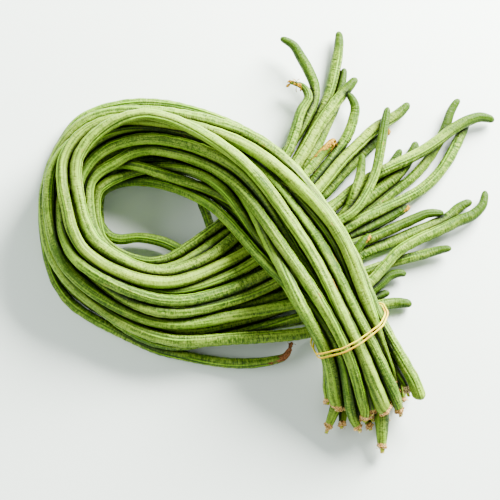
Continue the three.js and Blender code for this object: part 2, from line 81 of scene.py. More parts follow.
class TipEnd(Enum):
    """How the far end of a pod looks."""

    FRESH = "slender and bright green"
    DARK = "slender and dark green"
    TAN = "dried to a tan stub"
    BROWN = "shrivelled and brown"
    RAGGED = "broad, blotched brown and torn off"
    FLOWER = "with the dried flower still on it"


# Shares of a pod's radius: distances from its end in millimetres, and the shares there
Outline = tuple[tuple[float, ...], tuple[float, ...]]
COLLAR_PLACES = (-0.3, 0.2, 0.6, 1.2, 2.2, 4.0, 8.0, 13.0, 18.0)
COLLAR: Outline = (COLLAR_PLACES, (0.42, 0.62, 0.68, 0.68, 0.67, 0.71, 0.82, 0.92, 1))
BROAD_COLLAR: Outline = (COLLAR_PLACES, (0.5, 0.8, 0.88, 0.91, 0.94, 0.98, 1, 1, 1))
SLIM_NECK: Outline = ((0, 0.5, 1.5, 3.5, 7, 26, 60), (0.4, 0.6, 0.66, 0.58, 0.5, 0.54, 1))
BLUNT_TIP: Outline = ((0, 3, 6, 10, 20, 40, 80), (0.84, 0.96, 1.1, 1.2, 1.2, 1.1, 1.0))
TORN_TIP: Outline = ((0, 2, 5, 20, 30), (1.0, 1.1, 1.25, 1.15, 1.0))
SHRIVELLED: Outline = ((0, 3, 7, 14, 40), (0.5, 0.45, 0.65, 0.85, 1.0))


@dataclass(frozen=True)
class StemShape:
    """Sizes of one kind of cut end, in millimetres.

    Attributes:
        outline: Its outline past the stalk, or nothing where it is rounded.
        stalked: Whether a stalk can be left on it.
        lean: How far the cut leans along the pod.
        lumps: Height of the lumps on its collar.
        cork: How far the cork reaches.
        paleness: From 0, tan cork, to 1, whitish cork.
        strips: Number of dry strips on it.
    """

    outline: Optional[Outline] = COLLAR
    stalked: bool = True
    lean: float = 0.7
    lumps: float = 0.8
    cork: float = 3.6
    paleness: float = 0.15
    strips: int = 8


@dataclass(frozen=True)
class TipShape:
    """Sizes of one kind of tip, in millimetres.

    Attributes:
        outlines: Its outlines, which are multiplied.
        dried: How far the drying reaches.
        dark: How far the dark green reaches.
        strips: Number of dry strips on it.
        strip_reach: How far from the end they grow.
        strip_size: Their size beside the largest.
        strip_lean: How much they point along the pod.
    """

    outlines: tuple[Outline, ...] = (BLUNT_TIP,)
    dried: float = 0.01
    dark: float = 26.0
    strips: int = 0
    strip_reach: float = 2.5
    strip_size: float = 0.7
    strip_lean: float = 0.5


STEMS = {
    StemEnd.CORK: StemShape(),
    StemEnd.BROAD: StemShape(BROAD_COLLAR, lean=1.5, strips=9),
    StemEnd.PALE: StemShape(lumps=1.1, cork=4.6, paleness=1.0, strips=12),
    StemEnd.NECK: StemShape(SLIM_NECK, False, lumps=0.15, cork=1.8, strips=0),
    StemEnd.SMOOTH: StemShape(None, False, lumps=0.03, cork=0.01, strips=0),
}

TIPS = {
    TipEnd.FRESH: TipShape(),
    TipEnd.DARK: TipShape(dark=60.0),
    TipEnd.TAN: TipShape((BLUNT_TIP,), 7.0, 40.0, 4, 2.0, 0.4, 1.0),
    TipEnd.BROWN: TipShape((BLUNT_TIP, SHRIVELLED), 23.0, strips=6),
    TipEnd.RAGGED: TipShape((TORN_TIP,), 21.0, strips=9),
    TipEnd.FLOWER: TipShape((BLUNT_TIP, SHRIVELLED), 3.0, 26.0, 12, 10.0, 1.0, 0.2),
}


@dataclass(frozen=True)
class PodLook:
    """What sets one pod apart from the next.

    Attributes:
        seam: Where its seam runs, in degrees from the top towards the outside of the bend.
        tone: From -1, dark, to 1, pale.
        yellow: From 0, plain green, to 1, yellowish.
        stem: Its cut end.
        tip: Its far end.
    """

    seam: float
    tone: float = 0.0
    yellow: float = 0.0
    stem: StemEnd = StemEnd.CORK
    tip: TipEnd = TipEnd.FRESH


POD_LOOKS = {
    "bean_01": PodLook(-28, 0.1, 0.1, tip=TipEnd.FLOWER),
    "bean_02": PodLook(38, 0.15, 0.3),
    "bean_03": PodLook(-50, 0.75, 0.2, stem=StemEnd.BROAD),
    "bean_04": PodLook(60, 0.8, 1.0, stem=StemEnd.NECK),
    "bean_05": PodLook(20, 0.25, 0.1, tip=TipEnd.DARK),
    "bean_06": PodLook(-40, 0.0, 0.0),
    "bean_07": PodLook(-15, 0.3, 0.3, stem=StemEnd.PALE, tip=TipEnd.DARK),
    "bean_08": PodLook(70, 0.2, 0.0, stem=StemEnd.BROAD),
    "bean_09": PodLook(-62, 0.1, 0.2, tip=TipEnd.DARK),
    "bean_10": PodLook(-34, 0.35, 0.2, stem=StemEnd.SMOOTH),
    "bean_11": PodLook(15, -0.1, 0.1, tip=TipEnd.BROWN),
    "bean_12": PodLook(30, -0.25, 0.0),
    "bean_13": PodLook(-20, -0.3, 0.0),
    "bean_14": PodLook(50, 0.0, 0.1, tip=TipEnd.DARK),
    "bean_15": PodLook(-70, 0.1, 0.0),
    "bean_16": PodLook(-50, 0.1, 0.3, tip=TipEnd.RAGGED),
    "bean_17": PodLook(35, -0.1, 0.1, tip=TipEnd.TAN),
    "bean_18": PodLook(-30, 0.3, 0.2, tip=TipEnd.DARK),
    "bean_19": PodLook(65, 0.2, 0.0),
    "bean_20": PodLook(-10, 0.0, 0.1),
    "bean_21": PodLook(100, -0.15, 0.0),
    "bean_22": PodLook(-55, 0.2, 0.2, tip=TipEnd.DARK),
    "bean_23": PodLook(25, -0.2, 0.1, tip=TipEnd.TAN),
    "bean_24": PodLook(45, 0.1, 0.4, tip=TipEnd.TAN),
    "bean_25": PodLook(-25, 0.2, 0.1),
    "bean_26": PodLook(5, -0.35, 0.0, tip=TipEnd.DARK),
    "bean_27": PodLook(-45, -0.1, 0.1),
}


# Shader expressions


class Shade:
    """A value socket of a material that can be used in Python expressions."""

    def __init__(self, graph: "Graph", socket: bpy.types.NodeSocket) -> None:
        """Wraps one output socket of a graph."""
        self.graph = graph
        self.socket = socket

    def __add__(self, other: "Value") -> "Shade":
        """Adds a value."""
        return self.graph.maths("ADD", self, other)

    def __radd__(self, other: "Value") -> "Shade":
        """Adds this to a value."""
        return self.graph.maths("ADD", other, self)

    def __sub__(self, other: "Value") -> "Shade":
        """Takes a value away."""
        return self.graph.maths("SUBTRACT", self, other)

    def __rsub__(self, other: "Value") -> "Shade":
        """Takes this away from a value."""
        return self.graph.maths("SUBTRACT", other, self)

    def __mul__(self, other: "Value") -> "Shade":
        """Multiplies by a value."""
        return self.graph.maths("MULTIPLY", self, other)

    def __rmul__(self, other: "Value") -> "Shade":
        """Multiplies a value by this."""
        return self.graph.maths("MULTIPLY", other, self)

    def step(self, low: "Value", high: "Value") -> "Shade":
        """Rises smoothly from 0 to 1 between two values.

        Args:
            low: Where the rise starts.
            high: Where it ends.

        Returns:
            The risen value.
        """
        settings = {"interpolation_type": "SMOOTHSTEP"}
        return self.graph.add("ShaderNodeMapRange", settings, {0: self, 1: low, 2: high})


Value = Union[Shade, float]


class Graph:
    """The nodes of one material.

    Attributes:
        colours: A Mix node's share and two colours, by the places of their sockets.
        mixed: The place of its mixed colour among its outputs.
    """

    colours: tuple[int, int, int] = (0, 6, 7)
    mixed: int = 2

    def __init__(self, name: str) -> None:
        """Starts an empty material.

        Args:
            name: The material's name.
        """
        self.material = bpy.data.materials.new(name)
        self.material.use_nodes = True
        self.tree = self.material.node_tree
        self.tree.nodes.clear()

    def add(
        self,
        kind: str,
        settings: Mapping[str, Any],
        sockets: Mapping[Union[int, str], Any],
        output: Union[int, str] = 0,
    ) -> Shade:
        """Adds one node.

        Args:
            kind: The node's type.
            settings: Its own properties, set before its sockets.
            sockets: A number, colour or Shade for each socket that is used.
            output: The output that is wanted.

        Returns:
            That output.
        """
        node = self.tree.nodes.new(kind)
        for name, setting in settings.items():
            setattr(node, name, setting)
        for name, value in sockets.items():
            if isinstance(value, Shade):
                self.tree.links.new(value.socket, node.inputs[name])
            else:
                node.inputs[name].default_value = value
        return Shade(self, node.outputs[output])

    def maths(self, operation: str, first: Value, second: Value) -> Shade:
        """One sum on two values, as a Math node."""
        return self.add("ShaderNodeMath", {"operation": operation}, {0: first, 1: second})

    def mix(self, share: Value, first: Any, second: Any) -> Shade:
        """Mixes two colours.

        Args:
            share: 0 for the first and 1 for the second.
            first: A colour or a Shade.
            second: A colour or a Shade.

        Returns:
            The mixed colour.
        """
        settings = {"data_type": "RGBA", "clamp_factor": True}
        sockets = dict(zip(self.colours, (share, first, second)))
        return self.add("ShaderNodeMix", settings, sockets, self.mixed)

    def scaled(self, vector: Shade, by: Triple) -> Shade:
        """Multiplies a vector by another, part by part."""
        settings = {"operation": "MULTIPLY"}
        return self.add("ShaderNodeVectorMath", settings, {0: vector, 1: by})

    def noise(self, place: Shade, size: Triple, detail: float = 2.0, rough: float = 0.5) -> Shade:
        """Smooth noise from 0 to 1.

        Args:
            place: The vector that it is looked up at.
            size: How far it takes to change in each direction, in the vector's own unit.
            detail: Number of finer layers.
            rough: Strength of the finer layers.

        Returns:
            The noise.
        """
        spot = self.scaled(place, (1 / size[0], 1 / size[1], 1 / size[2]))
        sockets = {"Vector": spot, "Scale": 1.0, "Detail": detail, "Roughness": rough}
        return self.add("ShaderNodeTexNoise", {}, sockets)

    def attribute(self, name: str) -> Shade:
        """A vector that the mesh carries at its corners."""
        return self.add("ShaderNodeAttribute", {"attribute_name": name}, {}, "Vector")

    def split(self, vector: Shade) -> tuple[Shade, Shade, Shade]:
        """The three parts of a vector."""
        node = self.add("ShaderNodeSeparateXYZ", {}, {0: vector}).socket.node
        return tuple(Shade(self, output) for output in node.outputs)

    def finish(self, base: Any, rough: Any, height: Shade, **constants: Any) -> bpy.types.Material:
        """Joins everything in the shader.

        Args:
            base: The base colour.
            rough: The roughness.
            height: Height of the fine relief, in millimetres.
            **constants: Values for the shader's other sockets, with _ for a space.

        Returns:
            The finished material.
        """
        bump = {"Strength": 1.0, "Distance": MM, "Height": height}
        normal = self.add("ShaderNodeBump", {}, bump)
        sockets = {"Base Color": base, "Roughness": rough, "Normal": normal}
        sockets.update({name.replace("_", " "): value for name, value in constants.items()})
        shader = self.add("ShaderNodeBsdfPrincipled", {}, sockets)
        self.add_output(shader)
        return self.material

    def add_output(self, shader: Shade) -> None:
        """Puts a shader on the surface."""
        end = self.tree.nodes.new("ShaderNodeOutputMaterial")
        self.tree.links.new(shader.socket, end.inputs["Surface"])


class SkinMaps:
    """What varies over the skin of a pod.

    These are the values that the mesh carries, the noises on the skin and the masks made of
    both. A mask is 1 where its name holds and 0 elsewhere.
    """

    def __init__(self, finish: "PodSkin") -> None:
        """Starts the material and adds the maps to it.

        Args:
            finish: The finish, whose distances bound the masks.
        """
        self.graph = Graph("pod_skin")
        self.skin = self.graph.attribute("skin")
        self.from_stalk, self.from_tip, self.from_seam = self.parts("ends")
        self.cork_reach, self.dried_reach, self.dark_reach = self.parts("reach")
        self.tone, self.yellowness, self.paleness = self.parts("tint")
        self.crevice_shade, self.browning, _ = self.parts("crevice_shade")
        self.add_noises()
        self.mark_body(finish)
        self.mark_seam(finish)
        self.mark_ends()

    def parts(self, name: str) -> tuple[Shade, Shade, Shade]:
        """The three parts of a vector that the mesh carries."""
        return self.graph.split(self.graph.attribute(name))

    def add_noises(self) -> None:
        """Lays the noises over the skin, with their sizes in millimetres."""
        noise, skin = self.graph.noise, self.skin
        self.patches = noise(skin, (18, 6, 6))
        self.mottle = noise(skin, (3.2, 1.8, 1.8), 3.0, 0.6)
        self.speckle = noise(skin, (0.9, 0.9, 0.9), 3.0, 0.65)
        self.grain = noise(skin, (0.4, 0.4, 0.4), 2.0, 0.6)
        self.wrinkle = noise(skin, (0.95, 3.2, 3.2), 2.0, 0.6)
        self.creased = noise(skin, (22, 6, 6)).step(0.36, 0.62)
        self.rib = noise(skin, (60, 1.5, 1.5))
        self.fibre = noise(skin, (30, 0.6, 0.6), 2.0, 0.6)
        self.showing = noise(skin, (38, 30, 30), 1.0)
        self.specks = noise(skin, (1.5, 1.1, 1.1), 1.0).step(0.735, 0.775)
        self.stained = (noise(skin, (13, 2.4, 2.4)) + self.speckle * 0.1).step(0.78, 0.84)

    def mark_body(self, finish: "PodSkin") -> None:
        """Marks the pale, the deep green, the wrinkled and the ribbed skin, and painted crevice
        shade.

        Args:
            finish: The finish.
        """
        # random bloom and deep green, also paler on the rib crests and deeper green in their
        # valleys: painted highlight and shade
        waxy = self.patches * 0.8 + self.mottle * 0.7 + self.speckle * 1.3 + self.fibre * 0.4
        waxy = waxy + self.rib * 1.1 + self.tone * 0.25 - 2.15
        self.pale = waxy.step(-0.14, 0.36)
        self.deep = 1 - waxy.step(-0.38, -0.02)
        self.loose = 1 - self.from_tip.step(*finish.loose)
        self.lined = 0.28 + self.creased * 0.6 + self.loose * 0.55
        self.ribbed = 1 - self.loose * 0.75
        self.neck = 1 - self.from_stalk.step(*finish.neck)
        # painted shade in the crevices between pods, by how close the next pod is
        self.crevice_shaded = self.crevice_shade.step(*finish.crevice_shade_span)

    def mark_seam(self, finish: "PodSkin") -> None:
        """Marks the groove of the seam, the bright line beside it and the line's rim; the groove
        and the rim get painted shade.

        Args:
            finish: The finish.
        """
        _, _, across = self.graph.split(self.skin)
        hand = across.step(-0.3, 0.3) * 2 - 1
        beside = (hand * (self.showing - 0.5) * 8).step(-0.3, 0.9)
        line = (self.from_seam + self.fibre * 0.6 - 0.3).step(*finish.line[0])
        self.line = line * (1 - self.from_seam.step(*finish.line[1])) * beside
        rim = self.from_seam.step(*finish.rim[0]) * (1 - self.from_seam.step(*finish.rim[1]))
        self.rim = rim * beside
        self.groove = 1 - self.from_seam.step(*finish.groove)

    def mark_ends(self) -> None:
        """Marks the dark green tip, the cork, the stalk and the dried tip."""
        dark = self.from_tip + self.mottle * 16 - 8
        self.dark = 1 - dark.step(self.dark_reach * 0.2, self.dark_reach)
        ragged = self.from_stalk + (self.mottle * 3.0 + self.grain * 1.2 - 2.1)
        cork = 1 - ragged.step(self.cork_reach * 0.75, self.cork_reach)
        stalk = 1 - (self.from_stalk + self.grain * 0.5).step(-0.35, 0.15)
        self.cork = cork * (1 - stalk)
        self.stalk = stalk * cork
        torn = (self.mottle * 2 + self.patches - 1.5) * self.dried_reach * 0.7
        torn = self.from_tip + torn + self.from_seam * 3
        self.dried = 1 - torn.step(self.dried_reach * 0.75, self.dried_reach)
        self.dead = self.graph.maths("MAXIMUM", self.cork, self.dried)


@dataclass(frozen=True)
class PodSkin:
    """The waxy skin of a fresh pod, with its corky cut end and dried tip.

    The mesh gives the skin laid out straight in millimetres ("skin"), the distances from the
    stalk, the tip and the nearer seam ("ends"), how far cork, drying and dark green reach
    ("reach"), and the pod's own tone, yellowness and paleness of cork ("tint"). The first part
    of "shelter" is how close the next pod is, which sets the painted shade in the crevices
    between pods. Its second part is 1 where a dried tip is brown and 0 where it is golden.

    Attributes:
        shade: Green of the darkest spots, and of the painted shade in the wrinkles, the rib
            valleys, the groove of the seam and the rim beside its line.
        green: The plain skin.
        bloom: Its pale waxy bloom, also used for painted highlights on the wrinkle crests.
        yellow: Skin of the yellowish pods and beside every cut end.
        seam: The bright lines of the seam, and painted highlights on the rib crests.
        dark: Skin of the dark green tips.
        stalk: The stalk.
        cork: Cork of the cut ends.
        pale_cork: Its pale fibres, and painted highlights on its raised spots.
        cork_shade: The dark brown of its pits, partly its own colour and partly painted shade.
        dried: The darkest part of the dried tips.
        gold: The lighter part, where it is golden.
        brown: The lighter part, where it is brown.
        speck: Small dark specks.
        crevice_shade_green: Painted shade on the skin between pods that lie close.
        stain: Brownish rubbed places.
        roughness: Roughness of the smoothest skin.
        specular: Strength of the gloss.
        crevice_shade_span: Closeness at which the painted crevice shade starts, and at which it is
            darkest.
        neck: Millimetres past the stalk over which the yellowish green ends.
        loose: Millimetres from the tip over which the wrinkled end turns into the ribbed body.
        groove: Millimetres from the seam over which its groove ends.
        line: The same where its bright line starts and where it ends.
        rim: The same for the painted shade on the rim beside the line.
    """

    shade: Colour = colour(20, 44, 5)
    green: Colour = colour(70, 104, 22)
    bloom: Colour = colour(128, 154, 54)
    yellow: Colour = colour(120, 146, 6)
    seam: Colour = colour(118, 172, 0)
    dark: Colour = colour(38, 64, 0)
    stalk: Colour = colour(146, 160, 34)
    cork: Colour = colour(214, 164, 82)
    pale_cork: Colour = colour(246, 216, 158)
    cork_shade: Colour = colour(70, 34, 6)
    dried: Colour = colour(78, 44, 8)
    gold: Colour = colour(160, 124, 18)
    brown: Colour = colour(136, 88, 56)
    speck: Colour = colour(40, 46, 14)
    crevice_shade_green: Colour = colour(6, 16, 1)
    stain: Colour = colour(132, 88, 40)
    roughness: float = 0.35
    specular: float = 0.1
    crevice_shade_span: Pair = (0.04, 0.62)
    neck: Pair = (3, 15)
    loose: Pair = (110, 280)
    groove: Pair = (0.3, 0.65)
    line: tuple[Pair, Pair] = ((0.35, 0.7), (1.1, 1.5))
    rim: tuple[Pair, Pair] = ((1.3, 1.6), (1.8, 2.5))

    def material(self) -> bpy.types.Material:
        """Builds the material.

        Returns:
            The pod material.
        """
        maps = SkinMaps(self)
        base = self.dress_seam(maps, self.dress_body(maps))
        base = self.dress_ends(maps, self.dress_marks(maps, base))
        rough = self.roughness + maps.grain * 0.14 + (1 - maps.pale) * 0.04 + maps.dead * 0.35
        return maps.graph.finish(base, rough, self.relief(maps), Specular_IOR_Level=self.specular)

    def dress_body(self, maps: SkinMaps) -> Shade:
        """Colours the body, with its bloom, and paints shade and highlights on its wrinkles and
        ribs.

        Args:
            maps: What varies over the skin.

        Returns:
            The colour.
        """
        mix = maps.graph.mix
        base = mix(maps.pale, self.green, self.bloom)
        base = mix(maps.deep * 0.42, base, self.shade)
        base = mix(maps.yellowness * 0.6 * maps.fibre.step(0.35, 0.7), base, self.yellow)
        base = mix(maps.neck * 0.4, base, self.yellow)
        # painted shade in the wrinkle valleys and painted highlights on their crests
        base = mix((0.5 - maps.wrinkle).step(0.0, 0.16) * maps.lined * 0.6, base, self.shade)
        base = mix((maps.wrinkle - 0.52).step(0.0, 0.14) * maps.lined * 0.6, base, self.bloom)
        # painted shade in the rib valleys and painted highlights on the rib crests
        base = mix((0.45 - maps.rib).step(0.0, 0.05) * maps.ribbed * 0.42, base, self.shade)
        return mix((maps.rib - 0.54).step(0.0, 0.05) * maps.ribbed * 0.4, base, self.seam)

    def dress_seam(self, maps: SkinMaps, base: Shade) -> Shade:
        """Colours the bright line of the seam, and paints shade in its groove and on the rim
        beside the line.

        Args:
            maps: What varies over the skin.
            base: The colour so far.

        Returns:
            The colour with the seam.
        """
        mix = maps.graph.mix
        base = mix(maps.line * (0.95 - maps.loose * 0.4), base, self.seam)
        # painted shade in the seam's groove and on the rim beside its bright line
        base = mix(maps.groove * (0.45 + maps.showing * 0.4), base, self.shade)
        return mix(maps.rim * 0.55, base, self.shade)

    def dress_marks(self, maps: SkinMaps, base: Shade) -> Shade:
        """Colours the dark green tip, the painted shade between pods, the specks and the stains.

        Args:
            maps: What varies over the skin.
            base: The colour so far.

        Returns:
            The colour with the marks.
        """
        mix = maps.graph.mix
        base = mix(maps.dark * 0.9, base, self.dark)
        # painted shade: the skin goes nearly black where other pods lie close
        base = mix(maps.crevice_shaded * 0.97, base, self.crevice_shade_green)
        base = mix(maps.specks * 0.8, base, self.speck)
        return mix(maps.stained * 0.7, base, self.stain)

    def dress_ends(self, maps: SkinMaps, base: Shade) -> Shade:
        """Colours the cork with painted highlights and shade, the stalk and the dried tip.

        Args:
            maps: What varies over the skin.
            base: The colour so far.

        Returns:
            The colour with the ends.
        """
        mix = maps.graph.mix
        # pale cork where the cork is whitish, and painted highlights on its raised spots
        pale_and_highlit = maps.graph.maths("MAXIMUM", maps.paleness, maps.mottle.step(0.48, 0.6) * 0.8)
        # darker in the low spots of the cork: dark brown of its own and painted shade in its pits
        pits = (0.67 - maps.grain * 0.5 - maps.speckle * 0.7).step(0.0, 0.18)
        corky = mix(pits, mix(pale_and_highlit, self.cork, self.pale_cork), self.cork_shade)
        base = mix(maps.cork, base, corky)
        base = mix(maps.stalk, base, mix(maps.mottle.step(0.45, 0.65), self.stalk, corky))
        light = mix(maps.browning, self.gold, self.brown)
        dry = mix((maps.speckle * 0.6 + maps.mottle * 0.4).step(0.42, 0.54), self.dried, light)
        return mix(maps.dried, base, dry)

    def relief(self, maps: SkinMaps) -> Shade:
        """Height of the fine relief.

        Args:
            maps: What varies over the skin.

        Returns:
            The height in millimetres.
        """
        height = maps.wrinkle * (0.3 + maps.creased * 0.45 + maps.loose * 0.25)
        height = height + maps.mottle * 0.12 + maps.speckle * 0.12
        height = height + maps.grain * 0.03 + maps.fibre * 0.16 + maps.rib * maps.ribbed * 0.9
        height = height + maps.line * 0.1 - maps.groove * 0.14
        return height + maps.dead * (maps.grain * 0.35 + maps.mottle * 0.3)


@dataclass(frozen=True)
class Rubber:
    """Natural yellow rubber, in two shades that run into each other."""

    amber: Colour = colour(196, 140, 0)
    straw: Colour = colour(208, 208, 0)
    specular: float = 0.15

    def material(self) -> bpy.types.Material:
        """Builds the material.

        Returns:
            The rubber material.
        """
        graph = Graph("band_rubber")
        place = graph.attribute("skin")
        cloud = graph.noise(place, (9, 1.2, 1.2))
        grain = graph.noise(place, (0.4, 0.3, 0.3))
        base = graph.mix(cloud.step(0.3, 0.7), self.amber, self.straw)
        rough = 0.38 + grain * 0.2
        relief = grain * 0.03 + cloud * 0.05
        return graph.finish(base, rough, relief, Specular_IOR_Level=self.specular)


@dataclass(frozen=True)
class Table:
    """The pale matt surface under the bunch."""

    light: Colour = colour(213, 224, 217)
    shade: Colour = colour(207, 219, 212)

    def material(self) -> bpy.types.Material:
        """Builds the material.

        Returns:
            The table material.
        """
        graph = Graph("table_top")
        place = graph.add("ShaderNodeTexCoord", {}, {}, "Object")
        cloud = graph.noise(place, (0.3, 0.3, 0.3), 1.0)
        base = graph.mix(cloud, self.light, self.shade)
        return graph.finish(base, 0.7 + cloud * 0.05, cloud * 0.01)


# Sums on arrays


def run(points: np.ndarray) -> np.ndarray:
    """Distance of each point from the first, along the line through them."""
    return np.concatenate([[0.0], np.cumsum(np.linalg.norm(np.diff(points, axis=0), axis=1))])


def units(vectors: np.ndarray) -> np.ndarray:
    """The vectors at length 1."""
    return vectors / np.linalg.norm(vectors, axis=1)[:, None]


def half_turn(angles: np.ndarray) -> np.ndarray:
    """Angles brought between minus half a turn and half a turn."""
    return (angles + math.pi) % math.tau - math.pi


def bell(places: np.ndarray, middle: float, width: float) -> np.ndarray:
    """A smooth hump, 1 at its middle."""
    return np.exp(-(((places - middle) / width) ** 2))


def dome(places: np.ndarray, depth: float) -> np.ndarray:
    """A rounded end, from nearly 0 at its start to 1 at its depth."""
    return np.sqrt(1 - (1 - np.clip(places / depth, 0.02, 1)) ** 2)


# Lines read from the solids in the frame


class Corners:
    """The corners of a solid, merged where its faces meet."""

    def __init__(self, mesh: bpy.types.Mesh) -> None:
        """Reads a mesh.

        Args:
            mesh: The solid's mesh.
        """
        flat = np.empty(len(mesh.vertices) * 3)
        mesh.vertices.foreach_get("co", flat)
        raw = flat.reshape(-1, 3)
        keys = np.round(raw / MICRON).astype(np.int64)
        _, first, owner = np.unique(keys, axis=0, return_index=True, return_inverse=True)
        owner = owner.ravel()
        self.points = raw[first]
        ends = np.empty(len(mesh.edges) * 2, dtype=np.int64)
        mesh.edges.foreach_get("vertices", ends)
        self.near: list[set[int]] = [set() for _ in self.points]
        for a, b in owner[ends].reshape(-1, 2):
            if a != b:
                self.near[a].add(int(b))
                self.near[b].add(int(a))

    def layers(self, start: int, width: int) -> list[list[int]]:
        """Steps away from a pole ring by ring.

        Args:
            start: The corner at the pole.
            width: Number of corners that a ring has.

        Returns:
            The rings from pole to pole, or nothing if the start isn't a pole.
        """
        seen = {start}
        layers = [[start]]
        while len(seen) < len(self.points):
            following = sorted({n for corner in layers[-1] for n in self.near[corner]} - seen)
            last = len(following) == 1 and len(seen) == len(self.points) - 1
            if len(following) != width and not last:
                return []
            seen.update(following)
            layers.append(following)
        return layers

    def rings(self, reach: float) -> list[list[int]]:
        """The rings of a closed tube, in order.

        Args:
            reach: More than a ring's side and less than the way to the next ring.

        Returns:
            The rings, each as its corners.
        """
        ring_of = [-1] * len(self.points)
        rings: list[list[int]] = []
        for corner in range(len(self.points)):
            if ring_of[corner] >= 0:
                continue
            ring_of[corner] = len(rings)
            ring = [corner]
            for member in ring:
                for n in self.near[member]:
                    close = np.linalg.norm(self.points[n] - self.points[member]) < reach
                    if close and ring_of[n] < 0:
                        ring_of[n] = len(rings)
                        ring.append(n)
            rings.append(ring)
        order = [0]
        while len(order) < len(rings):
            beside = {ring_of[n] for corner in rings[order[-1]] for n in self.near[corner]}
            order.append(min(beside - set(order)))
        return [rings[i] for i in order]


@dataclass(frozen=True)
class Course:
    """The line that a piece follows.

    Attributes:
        points: Places along it, in metres.
        radii: The solid's radius at each.
        closed: Whether it is a loop.
        least_step: Points that are closer than this to the one before are passed over.
    """

    points: np.ndarray
    radii: np.ndarray
    closed: bool = False
    least_step: float = 1e-7

    @classmethod
    def of_rings(cls, corners: Corners, rings: list[list[int]], closed: bool) -> "Course":
        """Takes the middles and radii of rings.

        Args:
            corners: The solid's corners.
            rings: Its rings in order.
            closed: Whether the last ring meets the first.

        Returns:
            The line.
        """
        middles = np.array([corners.points[ring].mean(axis=0) for ring in rings])
        radii = [
            np.linalg.norm(corners.points[ring] - middle, axis=1).mean()
            for ring, middle in zip(rings, middles)
        ]
        return cls(middles, np.array(radii), closed)

    @classmethod
    def of_pod(cls, node: bpy.types.Object) -> "Course":
        """The line of a pod, from its cut end to its tip.

        The cut ends all lie further to the front than the tips.

        Args:
            node: The pod's solid.

        Returns:
            The line.
        """
        corners = Corners(node.data)
        for start in range(len(corners.points)):
            rings = corners.layers(start, POD_SIDES)
            if rings:
                break
        else:
            raise RuntimeError(f"{node.name} has no pole")
        if corners.points[rings[0][0], 1] > corners.points[rings[-1][0], 1]:
            rings.reverse()
        return cls.of_rings(corners, rings, False)

    @property
    def reach(self) -> np.ndarray:
        """Distance of each point from the first, along the line."""
        return run(self.points)

    def at(self, places: np.ndarray) -> tuple[np.ndarray, np.ndarray]:
        """Points and directions at distances along the line, on one smooth curve.

        Args:
            places: The distances from the line's start.

        Returns:
            The points, and the unit directions there.
        """
        points, lap = self.points, 3
        if self.closed:
            points = np.concatenate([points[-lap:], points, points[: lap + 1]])
        knots = run(points)
        if self.closed:
            places = places + knots[lap]
        keep = np.concatenate([[True], np.diff(knots) > self.least_step])
        points, knots = points[keep], knots[keep]
        slopes = np.diff(points, axis=0) / np.diff(knots)[:, None]
        before, after = np.diff(knots)[:-1, None], np.diff(knots)[1:, None]
        inner = (slopes[:-1] * after + slopes[1:] * before) / (before + after)
        tangents = np.concatenate([slopes[:1], inner, slopes[-1:]])
        span = np.clip(np.searchsorted(knots, places, side="right") - 1, 0, len(knots) - 2)
        width = (knots[span + 1] - knots[span])[:, None]
        t = ((places - knots[span])[:, None]) / width
        p0, p1 = points[span], points[span + 1]
        m0, m1 = tangents[span] * width, tangents[span + 1] * width
        spots = (
            (2 * t**3 - 3 * t**2 + 1) * p0
            + (t**3 - 2 * t**2 + t) * m0
            + (3 * t**2 - 2 * t**3) * p1
            + (t**3 - t**2) * m1
        )
        ways = (
            (6 * t**2 - 6 * t) * (p0 - p1)
            + (3 * t**2 - 4 * t + 1) * m0
            + (3 * t**2 - 2 * t) * m1
        )
        return spots, units(ways)


def level_frames(ways: np.ndarray) -> tuple[np.ndarray, np.ndarray]:
    """Directions across a line on the level, and up from it.

    Args:
        ways: Unit directions along the line.

    Returns:
        The level directions, to the right of the way, and the upward ones.
    """
    across = units(np.stack([ways[:, 1], -ways[:, 0], np.zeros(len(ways))], axis=1))
    return across, np.cross(across, ways)


class Unevenness:
    """Smooth seeded ups and downs over a piece, from about -1 to 1.

    Attributes:
        waves: Number of waves that it is made of.
        gain: What their mean is multiplied by, because they seldom peak together.
    """

    waves: int = 7
    gain: float = 1.6

    def __init__(self, rng: np.random.Generator, lengths: Pair, turns: int) -> None:
        """Draws the waves that make it up.

        Args:
            rng: Source of the draws.
            lengths: Shortest and longest wave along the piece, in millimetres.
            turns: Most waves round it.
        """
        self.pitch = rng.uniform(*lengths, self.waves)
        self.turns = rng.integers(0, turns + 1, self.waves)
        self.phase = rng.uniform(0, math.tau, self.waves)
        self.size = rng.uniform(0.5, 1.0, self.waves)

    def at(self, along: np.ndarray, around: np.ndarray) -> np.ndarray:
        """The unevenness at places on the piece.

        Args:
            along: Millimetres along it.
            around: Angle round it.

        Returns:
            The unevenness.
        """
        total = sum(
            size * np.sin(math.tau * along / pitch + turns * around + phase)
            for size, pitch, turns, phase in zip(self.size, self.pitch, self.turns, self.phase)
        )
        return total / self.size.sum() * self.gain


